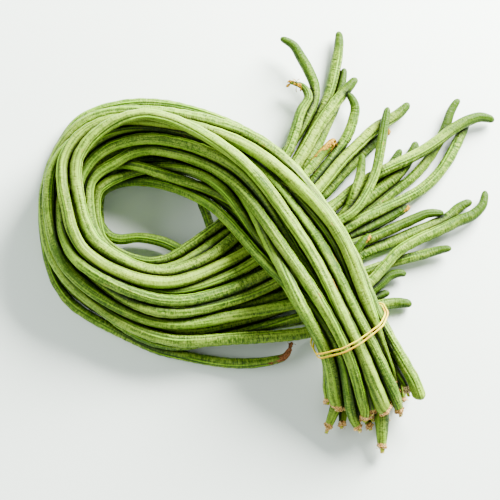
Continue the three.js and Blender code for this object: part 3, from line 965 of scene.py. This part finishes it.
@dataclass
class Neighbours:
    """Finds how close the skin of one pod is to the pods beside it, for the painted crevice shade.

    Attributes:
        courses: The pods' lines by number.
        pitch: Distance between the points taken on a line, in metres.
        sight: How far other pods are looked for.
        fading: Gap in millimetres over which the painted crevice shade fades to about a third.
        spots: The points of all the pods.
        radii: The pod's radius at each.
        owners: The number of the pod that each is on.
        tree: Finds the points near a place.
    """

    courses: Mapping[int, Course]
    pitch: float = 2.5 * MM
    sight: float = 13 * MM
    fading: float = 2.1
    spots: np.ndarray = field(init=False)
    radii: np.ndarray = field(init=False)
    owners: np.ndarray = field(init=False)
    tree: kdtree.KDTree = field(init=False)

    def __post_init__(self) -> None:
        """Gathers points on every pod's line."""
        spots, radii, owners = [], [], []
        for number, course in self.courses.items():
            places = np.arange(0.0, course.reach[-1], self.pitch)
            spots.append(course.at(places)[0])
            radii.append(np.interp(places, course.reach, course.radii))
            owners.append(np.full(len(places), number))
        self.spots = np.concatenate(spots)
        self.radii = np.concatenate(radii)
        self.owners = np.concatenate(owners)
        self.tree = kdtree.KDTree(len(self.spots))
        for index, spot in enumerate(self.spots):
            self.tree.insert(spot, index)
        self.tree.balance()

    def crevice_shade(self, number: int, middles: np.ndarray, corners: np.ndarray) -> np.ndarray:
        """How strongly painted shade darkens each corner, by how close other pods are.

        Args:
            number: The pod's own number.
            middles: Middle of each of its rings.
            corners: The corners of each ring.

        Returns:
            From 0, free, to 1, touching, for each corner.
        """
        gaps = np.full(corners.shape[:2], self.sight)
        for ring, middle in enumerate(middles):
            near = [index for _, index, _ in self.tree.find_range(middle, self.sight)]
            near = np.array([index for index in near if self.owners[index] != number], dtype=int)
            if len(near):
                ways = corners[ring][:, None] - self.spots[near][None]
                gaps[ring] = (np.linalg.norm(ways, axis=2) - self.radii[near]).min(axis=1)
        return np.exp(-np.clip(gaps / MM, 0, None) / self.fading)


@dataclass(frozen=True)
class Shred:
    """A thin curled strip of dry tissue.

    Attributes:
        root: Where it grows, in metres.
        way: Unit direction that it starts in.
        curl: Unit direction that it curls towards, square to the first.
        length: Its length in millimetres.
        width: Its width.
        bend: How far it curls, as an angle.
        thickness: Its thickness.
        steps: Number of rings.
        sides: Corners in a ring.
    """

    root: np.ndarray
    way: np.ndarray
    curl: np.ndarray
    length: float
    width: float
    bend: float
    thickness: float = 0.32
    steps: int = 7
    sides: int = 6

    def corners(self) -> np.ndarray:
        """Its corners.

        Returns:
            The corners in metres, ring by ring, with the two ends last.
        """
        share = (np.arange(self.steps) + 0.5) / self.steps
        angle = self.bend * share
        ways = np.cos(angle)[:, None] * self.way + np.sin(angle)[:, None] * self.curl
        spots = self.root + np.cumsum(ways, axis=0) * self.length / self.steps * MM
        beside = np.cross(self.way, self.curl)
        normals = np.cross(ways, beside)
        half = self.width / 2 * np.sin(math.pi * (0.2 + 0.75 * share)) ** 0.7
        turns = np.arange(self.sides) * math.tau / self.sides
        flat = np.cos(turns)[None, :, None] * half[:, None, None] * beside
        thick = np.sin(turns)[None, :, None] * self.thickness / 2 * normals[:, None, :]
        rings = spots[:, None, :] + (flat + thick) * MM
        return np.concatenate([rings.reshape(-1, 3), [self.root], [spots[-1]]])

    def faces(self, first: int) -> list[tuple[int, ...]]:
        """Its faces, with the corners numbered from the given one."""
        faces = tube_faces(self.steps, self.sides, False)
        return [tuple(corner + first for corner in face) for face in faces]


def tube_faces(rings: int, sides: int, closed: bool) -> list[tuple[int, ...]]:
    """Faces of a tube whose corners are numbered ring by ring.

    Args:
        rings: Number of rings.
        sides: Corners in a ring.
        closed: Whether the last ring joins the first. Otherwise two poles follow the rings.

    Returns:
        The faces.
    """
    faces: list[tuple[int, ...]] = []
    for ring in range(rings if closed else rings - 1):
        here, there = ring * sides, ((ring + 1) % rings) * sides
        for side in range(sides):
            turn = (side + 1) % sides
            faces.append((here + side, here + turn, there + turn, there + side))
    if not closed:
        first, last = rings * sides, rings * sides + 1
        end = (rings - 1) * sides
        for side in range(sides):
            turn = (side + 1) % sides
            faces.append((first, turn, side))
            faces.append((last, end + side, end + turn))
    return faces


def add_piece(
    name: str,
    corners: np.ndarray,
    faces: list[tuple[int, ...]],
    layers: Mapping[str, np.ndarray],
    material: bpy.types.Material,
) -> bpy.types.Object:
    """Makes a smooth mesh object.

    Args:
        name: The piece's name.
        corners: Its corners, in metres.
        faces: Its faces.
        layers: Vectors that it carries at its corners for the material.
        material: Its material.

    Returns:
        The object.
    """
    mesh = bpy.data.meshes.new(name)
    mesh.from_pydata(corners.tolist(), [], faces)
    for layer, values in layers.items():
        attribute = mesh.attributes.new(layer, "FLOAT_VECTOR", "POINT")
        attribute.data.foreach_set("vector", np.asarray(values, dtype=np.float32).ravel())
    mesh.polygons.foreach_set("use_smooth", [True] * len(mesh.polygons))
    mesh.materials.append(material)
    mesh.validate()
    mesh.update()
    piece = bpy.data.objects.new(name, mesh)
    bpy.context.scene.collection.objects.link(piece)
    return piece


# Pieces

# Distances from the stalk, the tip and the seam that have the skin show a dry strip as cork,
# and those that have it show one as dried
CORK_STRIP: Triple = (0.8, 900.0, 9.0)
DRIED_STRIP: Triple = (500.0, -9.0, 0.0)


@dataclass
class Pod:
    """One bean pod with its stalk.

    Attributes:
        number: Its place in the bunch, which also seeds its unevenness.
        course: Its line.
        look: What sets it apart.
        step: Distance between two rings, in millimetres.
        fine_step: The same on the stalk and just past it.
        tip_rings: Number of rings on the last millimetres of the tip.
        pole_gap: Distance from a pole to its first ring.
        stalk_share: Radius of the stalk beside the pod's.
        tapers: How far from the stalk and from the tip the solid is slimmer than the pod.
        cut_reach: How far past the stalk the slant of the cut is felt.
        tip_reach: How far from its end a tip is bent aside, and lumpy where it is dried.
        hook: Most that a tip is bent aside.
        sways: Most that the seam sways, in a slow and in a quicker wave, as angles.
        bulge: How much the seeds show, as a share of the radius.
        crease: Depth of the long creases.
        fold: Depth of the short folds.
        flatness: How much wider the section is than high.
        ridge: Height of the two ridges of the seam.
        back: Height of the low ridge on the other side.
        floor: Least height over the surface, in millimetres.
        seed_pitch: Distance between two seeds.
        pattern_step: Distance from one pod's place in the skin's pattern to the next one's.
        angles: Degrees from the seam that get a corner, on one side of it.
        seed: Seeds the draws, together with the pod's number.
        rng: Source of the draws.
    """

    number: int
    course: Course
    look: PodLook
    step: float = 1.6
    fine_step: float = 0.32
    tip_rings: int = 14
    pole_gap: float = 0.12
    stalk_share: float = 0.32
    tapers: Pair = (11.5, 9.5)
    cut_reach: float = 9.0
    tip_reach: float = 14.0
    hook: float = 1.3
    sways: Pair = (0.35, 0.2)
    bulge: float = 0.024
    crease: float = 0.04
    fold: float = 0.006
    flatness: float = 0.018
    ridge: float = 0.06
    back: float = 0.022
    floor: float = 0.04
    seed_pitch: float = 12.5
    pattern_step: float = 1000.0
    angles: tuple[float, ...] = (0, 9, 18, 30, 45, 62, 80, 100, 118, 135, 150, 162, 171)
    seed: int = 500
    rng: np.random.Generator = field(init=False)

    def __post_init__(self) -> None:
        """Seeds the pod's own draws."""
        self.rng = np.random.default_rng(self.seed + self.number)

    @property
    def stem(self) -> StemShape:
        """The sizes of its cut end."""
        return STEMS[self.look.stem]

    @property
    def tip(self) -> TipShape:
        """The sizes of its tip."""
        return TIPS[self.look.tip]

    @property
    def stalk(self) -> float:
        """Length of the stalk left on, read where the solid is slim.

        Returns:
            The length in millimetres.
        """
        if not self.stem.stalked:
            return 0.0
        shortest, longest = 0.5, 6.0
        reach = self.course.reach / MM
        shares = self.course.radii / self.course.radii.max()
        slim = [at for at, share in zip(reach, shares) if at < longest and 0.02 < share < 0.42]
        return max(slim) if slim and max(slim) > shortest else 0.0

    def places(self, length: float) -> np.ndarray:
        """Distances along the pod that get a ring, in millimetres.

        Args:
            length: The pod's length.

        Returns:
            The distances, closer together at both ends.
        """
        stem = np.arange(self.pole_gap, self.stalk + 4.0, self.fine_step)
        start, end = stem[-1] + 0.5, length - 5.0
        body = np.linspace(start, end, int((end - start) / self.step))
        tip = length - np.linspace(4.6, self.pole_gap, self.tip_rings)
        return np.concatenate([stem, body, tip])

    def outline(self, places: np.ndarray, length: float) -> np.ndarray:
        """Radius of the pod at distances along it, in millimetres.

        Args:
            places: The distances.
            length: The pod's length.

        Returns:
            The radii.
        """
        stalk = self.stalk
        reach, radii = self.course.reach / MM, self.course.radii / MM
        inner = (reach >= stalk + self.tapers[0]) & (reach <= length - self.tapers[1])
        girth = np.interp(places, reach[inner], radii[inner])
        girth *= self.stem_outline(places - stalk) * self.tip_outline(length - places)
        if stalk > 0:
            slim = radii.max() * self.stalk_share
            wobble = 1 + 0.12 * np.sin(places * 2.1 + self.number)
            blunted = np.interp(places, [0, 0.3], [0.75, 1])
            girth = np.where(places <= stalk - 0.25, slim * wobble * blunted, girth)
        return girth

    def stem_outline(self, past: np.ndarray) -> np.ndarray:
        """Share of the radius that the cut end has, by the distance past the stalk."""
        outline = self.stem.outline
        return dome(past, 4.2) if outline is None else np.interp(past, *outline)

    def tip_outline(self, left: np.ndarray) -> np.ndarray:
        """Share of the radius that the tip has, by the distance left to its end."""
        return dome(left, 3) * math.prod(np.interp(left, *part) for part in self.tip.outlines)

    def slanted(self, along: np.ndarray, around: np.ndarray) -> np.ndarray:
        """How far the cut at the stem leans along the pod, in millimetres.

        Args:
            along: Millimetres along the pod.
            around: Angle from the seam.

        Returns:
            The shift, largest at the cut.
        """
        fading = np.clip(1 - (along - self.stalk) / self.cut_reach, 0, 1)
        return self.stem.lean * fading * np.cos(around + self.number * 2.4)

    def hooked(self, left: np.ndarray) -> np.ndarray:
        """How far the tip bends aside, in millimetres, by the distance left to its end."""
        hook = self.hook * math.sin(self.number * 2.6)
        return hook * np.clip(1 - left / self.tip_reach, 0, 1) ** 2

    def turn(self, places: np.ndarray) -> np.ndarray:
        """Which way the seam faces, as it sways from side to side.

        Args:
            places: Distances along the pod.

        Returns:
            The seam's angle from the top at each.
        """
        drift = self.rng.uniform(90, 190, 2)
        phase = self.rng.uniform(0, math.tau, 2)
        sway = self.sways[0] * np.sin(places / drift[0] * 2 + phase[0])
        sway += self.sways[1] * np.sin(places / drift[1] * 5 + phase[1])
        return math.radians(self.look.seam) + sway

    def relief(self, along: np.ndarray, around: np.ndarray, length: float) -> np.ndarray:
        """How far the skin stands out from a plain tube, as a share of the radius.

        Args:
            along: Millimetres along the pod.
            around: Angle from the seam.
            length: The pod's length.

        Returns:
            The share to add.
        """
        past_stem = np.clip((along - self.stalk - 3) / 15, 0, 1)
        on_body = past_stem * np.clip((length - along) / 20, 0, 1)
        stretch = 1 + 0.1 * np.sin(along / 47 + self.number)
        seeds = np.cos(math.tau * along / (self.seed_pitch * stretch) + self.number)
        creases = Unevenness(self.rng, (24, 110), 4).at(along, around)
        folds = Unevenness(self.rng, (5, 12), 3).at(along, around)
        offset = np.abs(np.degrees(half_turn(around)))
        ridges = bell(offset, 17, 7) - 0.6 * bell(offset, 0, 8)
        share = self.bulge * seeds * (1 + 0.5 * np.cos(around - 1.4)) + self.crease * creases
        share += self.fold * folds + self.flatness * np.cos(2 * around)
        share += self.ridge * ridges + self.back * bell(offset, 180, 11) - 0.012
        return share * on_body

    def roughen_ends(self, along: np.ndarray, around: np.ndarray, length: float) -> np.ndarray:
        """Lumps on the cork and on a dried tip, in millimetres.

        Args:
            along: Millimetres along the pod.
            around: Angle from the seam.
            length: The pod's length.

        Returns:
            The height to add.
        """
        lumps = Unevenness(self.rng, (1.1, 3.2), 6).at(along, around)
        rags = Unevenness(self.rng, (2.0, 6.0), 9).at(along, around)
        past = along - self.stalk + self.slanted(along, around)
        height = self.stem.lumps * bell(past, 0.9, 1.1) * (0.35 + lumps + 0.6 * rags)
        if self.tip.strips:
            on_tip = np.clip(1 - (length - along) / self.tip_reach, 0, 1)
            height += on_tip * 0.4 * (lumps + rags)
        return height

    def shreds(self, length: float) -> list[tuple[Shred, Triple]]:
        """The dry strips on the pod's ends.

        Args:
            length: The pod's length.

        Returns:
            Each strip, with its distances from the stalk, the tip and the seam for the material.
        """
        found = []
        for _ in range(self.stem.strips):
            place = self.stalk + self.rng.uniform(0.3, 2.6)
            sizes = (self.rng.uniform(1.6, 3.4), self.rng.uniform(0.9, 1.7))
            found.append((self.shred(place, -0.75, sizes, 1.6), CORK_STRIP))
        size = self.tip.strip_size
        for _ in range(self.tip.strips):
            place = length - self.rng.uniform(0.4, self.tip.strip_reach)
            sizes = (self.rng.uniform(3.2, 5.6) * size, self.rng.uniform(1.9, 3.0) * size)
            found.append((self.shred(place, self.tip.strip_lean, sizes, 3.2), DRIED_STRIP))
        return found

    def shred(self, place: float, lean: float, sizes: Pair, bend: float) -> Shred:
        """One dry strip that stands off the pod.

        Args:
            place: Millimetres along the pod.
            lean: How much it points along the pod, towards the tip.
            sizes: Its length and width in millimetres.
            bend: Most that it curls, as an angle.

        Returns:
            The strip.
        """
        spots, ways = self.course.at(np.array([place]) * MM)
        across, up = level_frames(ways)
        angle = self.rng.uniform(0, math.tau)
        outward = math.cos(angle) * up[0] + math.sin(angle) * across[0]
        girth = np.interp(place * MM, self.course.reach, self.course.radii)
        way = outward + lean * 1.4 * ways[0]
        way /= np.linalg.norm(way)
        curl = np.cross(way, np.cross(outward, ways[0]))
        curl *= self.rng.choice([-1.0, 1.0])
        curl /= np.linalg.norm(curl)
        root = spots[0] + outward * girth * 0.55
        return Shred(root, way, curl, *sizes, self.rng.uniform(0.4, bend))

    def build(self, material: bpy.types.Material, neighbours: Neighbours) -> bpy.types.Object:
        """Makes the pod.

        Args:
            material: The skin.
            neighbours: The pods beside it.

        Returns:
            The piece.
        """
        length = self.course.reach[-1] / MM
        places = self.places(length)
        spots, ways = self.course.at(places * MM)
        across, up = level_frames(ways)
        spots = spots + across * self.hooked(length - places)[:, None] * MM
        half = np.radians(self.angles)
        angles = np.concatenate([half, [math.pi], math.tau - half[:0:-1]])
        sides = len(angles)
        along = np.repeat(places, sides)
        around = np.tile(angles, len(places))
        turned = around + np.repeat(self.turn(places), sides)
        plain = self.outline(along + self.slanted(along, around), length)
        radii = plain * (1 + self.relief(along, around, length))
        radii += self.roughen_ends(along, around, length) * np.clip(plain, 0, 1)
        outward = (
            np.cos(turned)[:, None] * np.repeat(up, sides, axis=0)
            + np.sin(turned)[:, None] * np.repeat(across, sides, axis=0)
        )
        corners = np.repeat(spots, sides, axis=0) + outward * radii[:, None] * MM
        rings = corners.reshape(len(places), sides, 3)
        # how close other pods are, which sets the painted shade in the crevices between pods
        crevice_shade = neighbours.crevice_shade(self.number, spots, rings).ravel()
        poles, _ = self.course.at(np.array([0.0, length]) * MM)
        poles[1] = spots[-1] + (poles[1] - spots[-1]) * 0.5
        corners = np.concatenate([corners, poles])
        layers = self.layers(along, around, radii, length)
        browning = float(self.look.tip is TipEnd.BROWN)
        layers["crevice_shade"] = np.zeros((len(corners), 3))
        layers["crevice_shade"][: len(crevice_shade), 0] = crevice_shade
        layers["crevice_shade"][:, 1] = browning
        faces = tube_faces(len(places), sides, False)
        for shred, ends in self.shreds(length):
            faces += shred.faces(len(corners))
            added = shred.corners()
            corners = np.concatenate([corners, added])
            # the dry strips get no painted crevice shade
            open_air = (0.0, browning, 0.0)
            for name, value in {"skin": added / MM, "ends": ends, "crevice_shade": open_air}.items():
                layers[name] = np.concatenate([layers[name], np.broadcast_to(value, added.shape)])
            for name in ("reach", "tint"):
                layers[name] = np.concatenate([layers[name], layers[name][: len(added)]])
        corners[:, 2] = np.maximum(corners[:, 2], self.floor * MM)
        return add_piece(f"pod_{self.number:02d}", corners, faces, layers, material)

    def layers(
        self, along: np.ndarray, around: np.ndarray, radii: np.ndarray, length: float
    ) -> dict[str, np.ndarray]:
        """The vectors that the skin's material reads.

        Args:
            along: Millimetres along the pod, at each corner.
            around: Angle from the seam.
            radii: Radius there.
            length: The pod's length.

        Returns:
            The vectors by name, with those of the two poles last.
        """
        along = np.concatenate([along, [0.0, length]])
        around = np.concatenate([around, [0.0, 0.0]])
        radii = np.concatenate([radii, [0.0, 0.0]])
        place = along + self.pattern_step * self.number
        skin = np.stack([place, radii * np.cos(around), radii * np.sin(around)], axis=1)
        nearer = np.abs(half_turn(around))
        nearer = np.minimum(nearer, 1.25 * (math.pi - nearer) + 0.06)
        cut = along - self.stalk + self.slanted(along, around)
        ends = np.stack([cut, length - along, nearer * np.maximum(radii, 0.3)], axis=1)
        count = len(along)
        reach = np.tile((self.stem.cork, self.tip.dried, self.tip.dark), (count, 1))
        tint = np.tile((self.look.tone, self.look.yellow, self.stem.paleness), (count, 1))
        return {"skin": skin, "ends": ends, "reach": reach, "tint": tint}


@dataclass
class RubberBand:
    """The band that is wound twice round the bunch.

    Attributes:
        course: Its line, a closed loop.
        width: Width of the strand, in millimetres.
        thickness: Its thickness.
        step: Distance between two rings.
        sides: Corners in a ring.
        squareness: From 1, a round section, down to 0, a square one.
        unevenness: How much its section varies, as a share.
        seed: Seeds where it varies.
    """

    course: Course
    width: float = 1.1
    thickness: float = 0.9
    step: float = 0.7
    sides: int = 12
    squareness: float = 0.7
    unevenness: float = 0.05
    seed: int = 77

    def squared(self, share: np.ndarray) -> np.ndarray:
        """Moves places on a round section outward, so that the section is squarer."""
        return np.sign(share) * np.abs(share) ** self.squareness

    def build(self, material: bpy.types.Material) -> bpy.types.Object:
        """Makes the band.

        Args:
            material: The rubber.

        Returns:
            The piece.
        """
        points = self.course.points
        length = self.course.reach[-1] / MM + np.linalg.norm(points[0] - points[-1]) / MM
        count = int(length / self.step)
        places = np.arange(count) * length / count
        spots, ways = self.course.at(places * MM)
        middle = points.mean(axis=0)
        outward = spots - middle
        outward = units(outward - (outward * ways).sum(axis=1)[:, None] * ways)
        beside = np.cross(ways, outward)
        angles = np.arange(self.sides) * math.tau / self.sides
        along = np.repeat(places, self.sides)
        around = np.tile(angles, count)
        uneven = Unevenness(np.random.default_rng(self.seed), (6, 30), 2).at(along, around)
        x = self.squared(np.cos(around)) * self.thickness / 2
        y = self.squared(np.sin(around)) * self.width / 2
        size = (1 + self.unevenness * uneven)[:, None] * MM
        corners = (
            np.repeat(spots, self.sides, axis=0)
            + x[:, None] * np.repeat(outward, self.sides, axis=0) * size
            + y[:, None] * np.repeat(beside, self.sides, axis=0) * size
        )
        skin = np.stack([along, x, y], axis=1)
        faces = tube_faces(count, self.sides, True)
        return add_piece("band", corners, faces, {"skin": skin}, material)


@dataclass
class Bunch:
    """The pods and the band that ties them.

    Attributes:
        nodes: The solids by name.
        looks: The pods' looks by the names of their solids.
        band_ring: More than a side of the band's rings and less than the way between two.
    """

    nodes: Mapping[str, bpy.types.Object]
    looks: Mapping[str, PodLook]
    band_ring: float = 1.2 * MM

    def build(self) -> None:
        """Builds every pod and the band, and has each stand for its solid."""
        skin = PodSkin().material()
        corners = Corners(self.nodes["rubber_band"].data)
        loop = Course.of_rings(corners, corners.rings(self.band_ring), True)
        courses = {int(name[-2:]): Course.of_pod(self.nodes[name]) for name in self.looks}
        neighbours = Neighbours(courses)
        for name, look in self.looks.items():
            number = int(name[-2:])
            piece = Pod(number, courses[number], look).build(skin, neighbours)
            self.attach(piece, name)
        self.attach(RubberBand(loop).build(Rubber().material()), "rubber_band")

    def attach(self, piece: bpy.types.Object, node: str) -> None:
        """Puts a piece in the place of its solid.

        Args:
            piece: The piece.
            node: Name of the solid.
        """
        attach(piece, "root")
        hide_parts(node)
        LOG.info("%s stands for %s with %d faces", piece.name, node, len(piece.data.polygons))


@dataclass(frozen=True)
class SoftLight:
    """A large soft lamp.

    Attributes:
        name: Its name.
        place: Where it hangs, in metres from the middle of the view.
        size: Its width and height.
        power: Its power in watts.
        tint: Its colour.
    """

    name: str
    place: Triple
    size: Pair
    power: float
    tint: Triple

    def hang(self, target: Vector) -> bpy.types.Object:
        """Hangs the lamp so that it faces a point.

        Args:
            target: The point.

        Returns:
            The lamp.
        """
        lamp = bpy.data.lights.new(self.name, "AREA")
        lamp.shape = "RECTANGLE"
        lamp.size, lamp.size_y = self.size
        lamp.energy = self.power
        lamp.color = self.tint
        holder = bpy.data.objects.new(self.name, lamp)
        holder.location = target + Vector(self.place)
        holder.rotation_euler = (-Vector(self.place)).to_track_quat("-Z", "Y").to_euler()
        holder.visible_camera = False
        bpy.context.scene.collection.objects.link(holder)
        return holder


@dataclass
class Studio:
    """The surface, the light and the camera.

    Attributes:
        target: What the camera looks at.
        distance: How far it is.
        elevation: Its height over the horizon, in degrees.
        lens: Its focal length, in millimetres.
        sensor: Width of its sensor.
        clips: Nearest and furthest that it sees, in metres.
        floor_half: Half the width of the surface.
        floor_ticks: Corners along each side of the surface.
        lamps: The lamps.
        sky: Colour of the room's light.
        sky_strength: Its strength.
    """

    target: Triple = (-0.011524, -0.006981, 0.0)
    distance: float = 1.3
    elevation: float = 78.0
    lens: float = 141.8
    sensor: float = 36.0
    clips: Pair = (0.05, 60.0)
    floor_half: float = 6.0
    floor_ticks: int = 13
    lamps: tuple[SoftLight, ...] = (
        SoftLight("window", (0.62, 0.7, 0.52), (0.6, 0.6), 172.0, (1.0, 0.985, 0.94)),
        SoftLight("reflector", (-0.85, 0.1, 0.5), (1.0, 0.5), 13.0, (0.96, 1.0, 0.98)),
        SoftLight("front", (0.2, -0.95, 0.45), (1.0, 0.5), 7.0, (0.97, 1.0, 0.98)),
    )
    sky: Colour = colour(240, 243, 240)
    sky_strength: float = 0.55

    def build(self) -> None:
        """Sets up the surface, the light and the camera."""
        self.lay_table()
        self.light()
        self.set_camera()
        LOG.info("studio is set")

    def lay_table(self) -> None:
        """Lays the surface that the bunch rests on."""
        steps = self.floor_ticks
        ticks = np.linspace(-self.floor_half, self.floor_half, steps)
        corners = np.array([(x, y, 0.0) for y in ticks for x in ticks])
        faces = [
            (j * steps + i, j * steps + i + 1, (j + 1) * steps + i + 1, (j + 1) * steps + i)
            for j in range(steps - 1)
            for i in range(steps - 1)
        ]
        add_piece("table", corners, faces, {}, Table().material())

    def light(self) -> None:
        """Hangs the lamps and sets the light of the room."""
        for lamp in self.lamps:
            lamp.hang(Vector(self.target))
        world = bpy.data.worlds.new("room")
        world.use_nodes = True
        back = world.node_tree.nodes["Background"]
        back.inputs["Color"].default_value = self.sky
        back.inputs["Strength"].default_value = self.sky_strength
        bpy.context.scene.world = world

    def set_camera(self) -> None:
        """Sets the camera over the bunch, as in the photograph."""
        lens = bpy.data.cameras.new("camera")
        lens.lens = self.lens
        lens.sensor_width = self.sensor
        lens.clip_start, lens.clip_end = self.clips
        camera = bpy.data.objects.new("camera", lens)
        rise = math.radians(self.elevation)
        back = Vector((0.0, -math.cos(rise), math.sin(rise)))
        camera.location = Vector(self.target) + back * self.distance
        camera.rotation_euler = (-back).to_track_quat("-Z", "Y").to_euler()
        bpy.context.scene.collection.objects.link(camera)
        bpy.context.scene.camera = camera


def main() -> None:
    """Builds the bunch and the studio."""
    logging.basicConfig(level=logging.INFO)
    Bunch(frame["nodes"], POD_LOOKS).build()
    Studio().build()


if __name__ == "__main__":
    main()
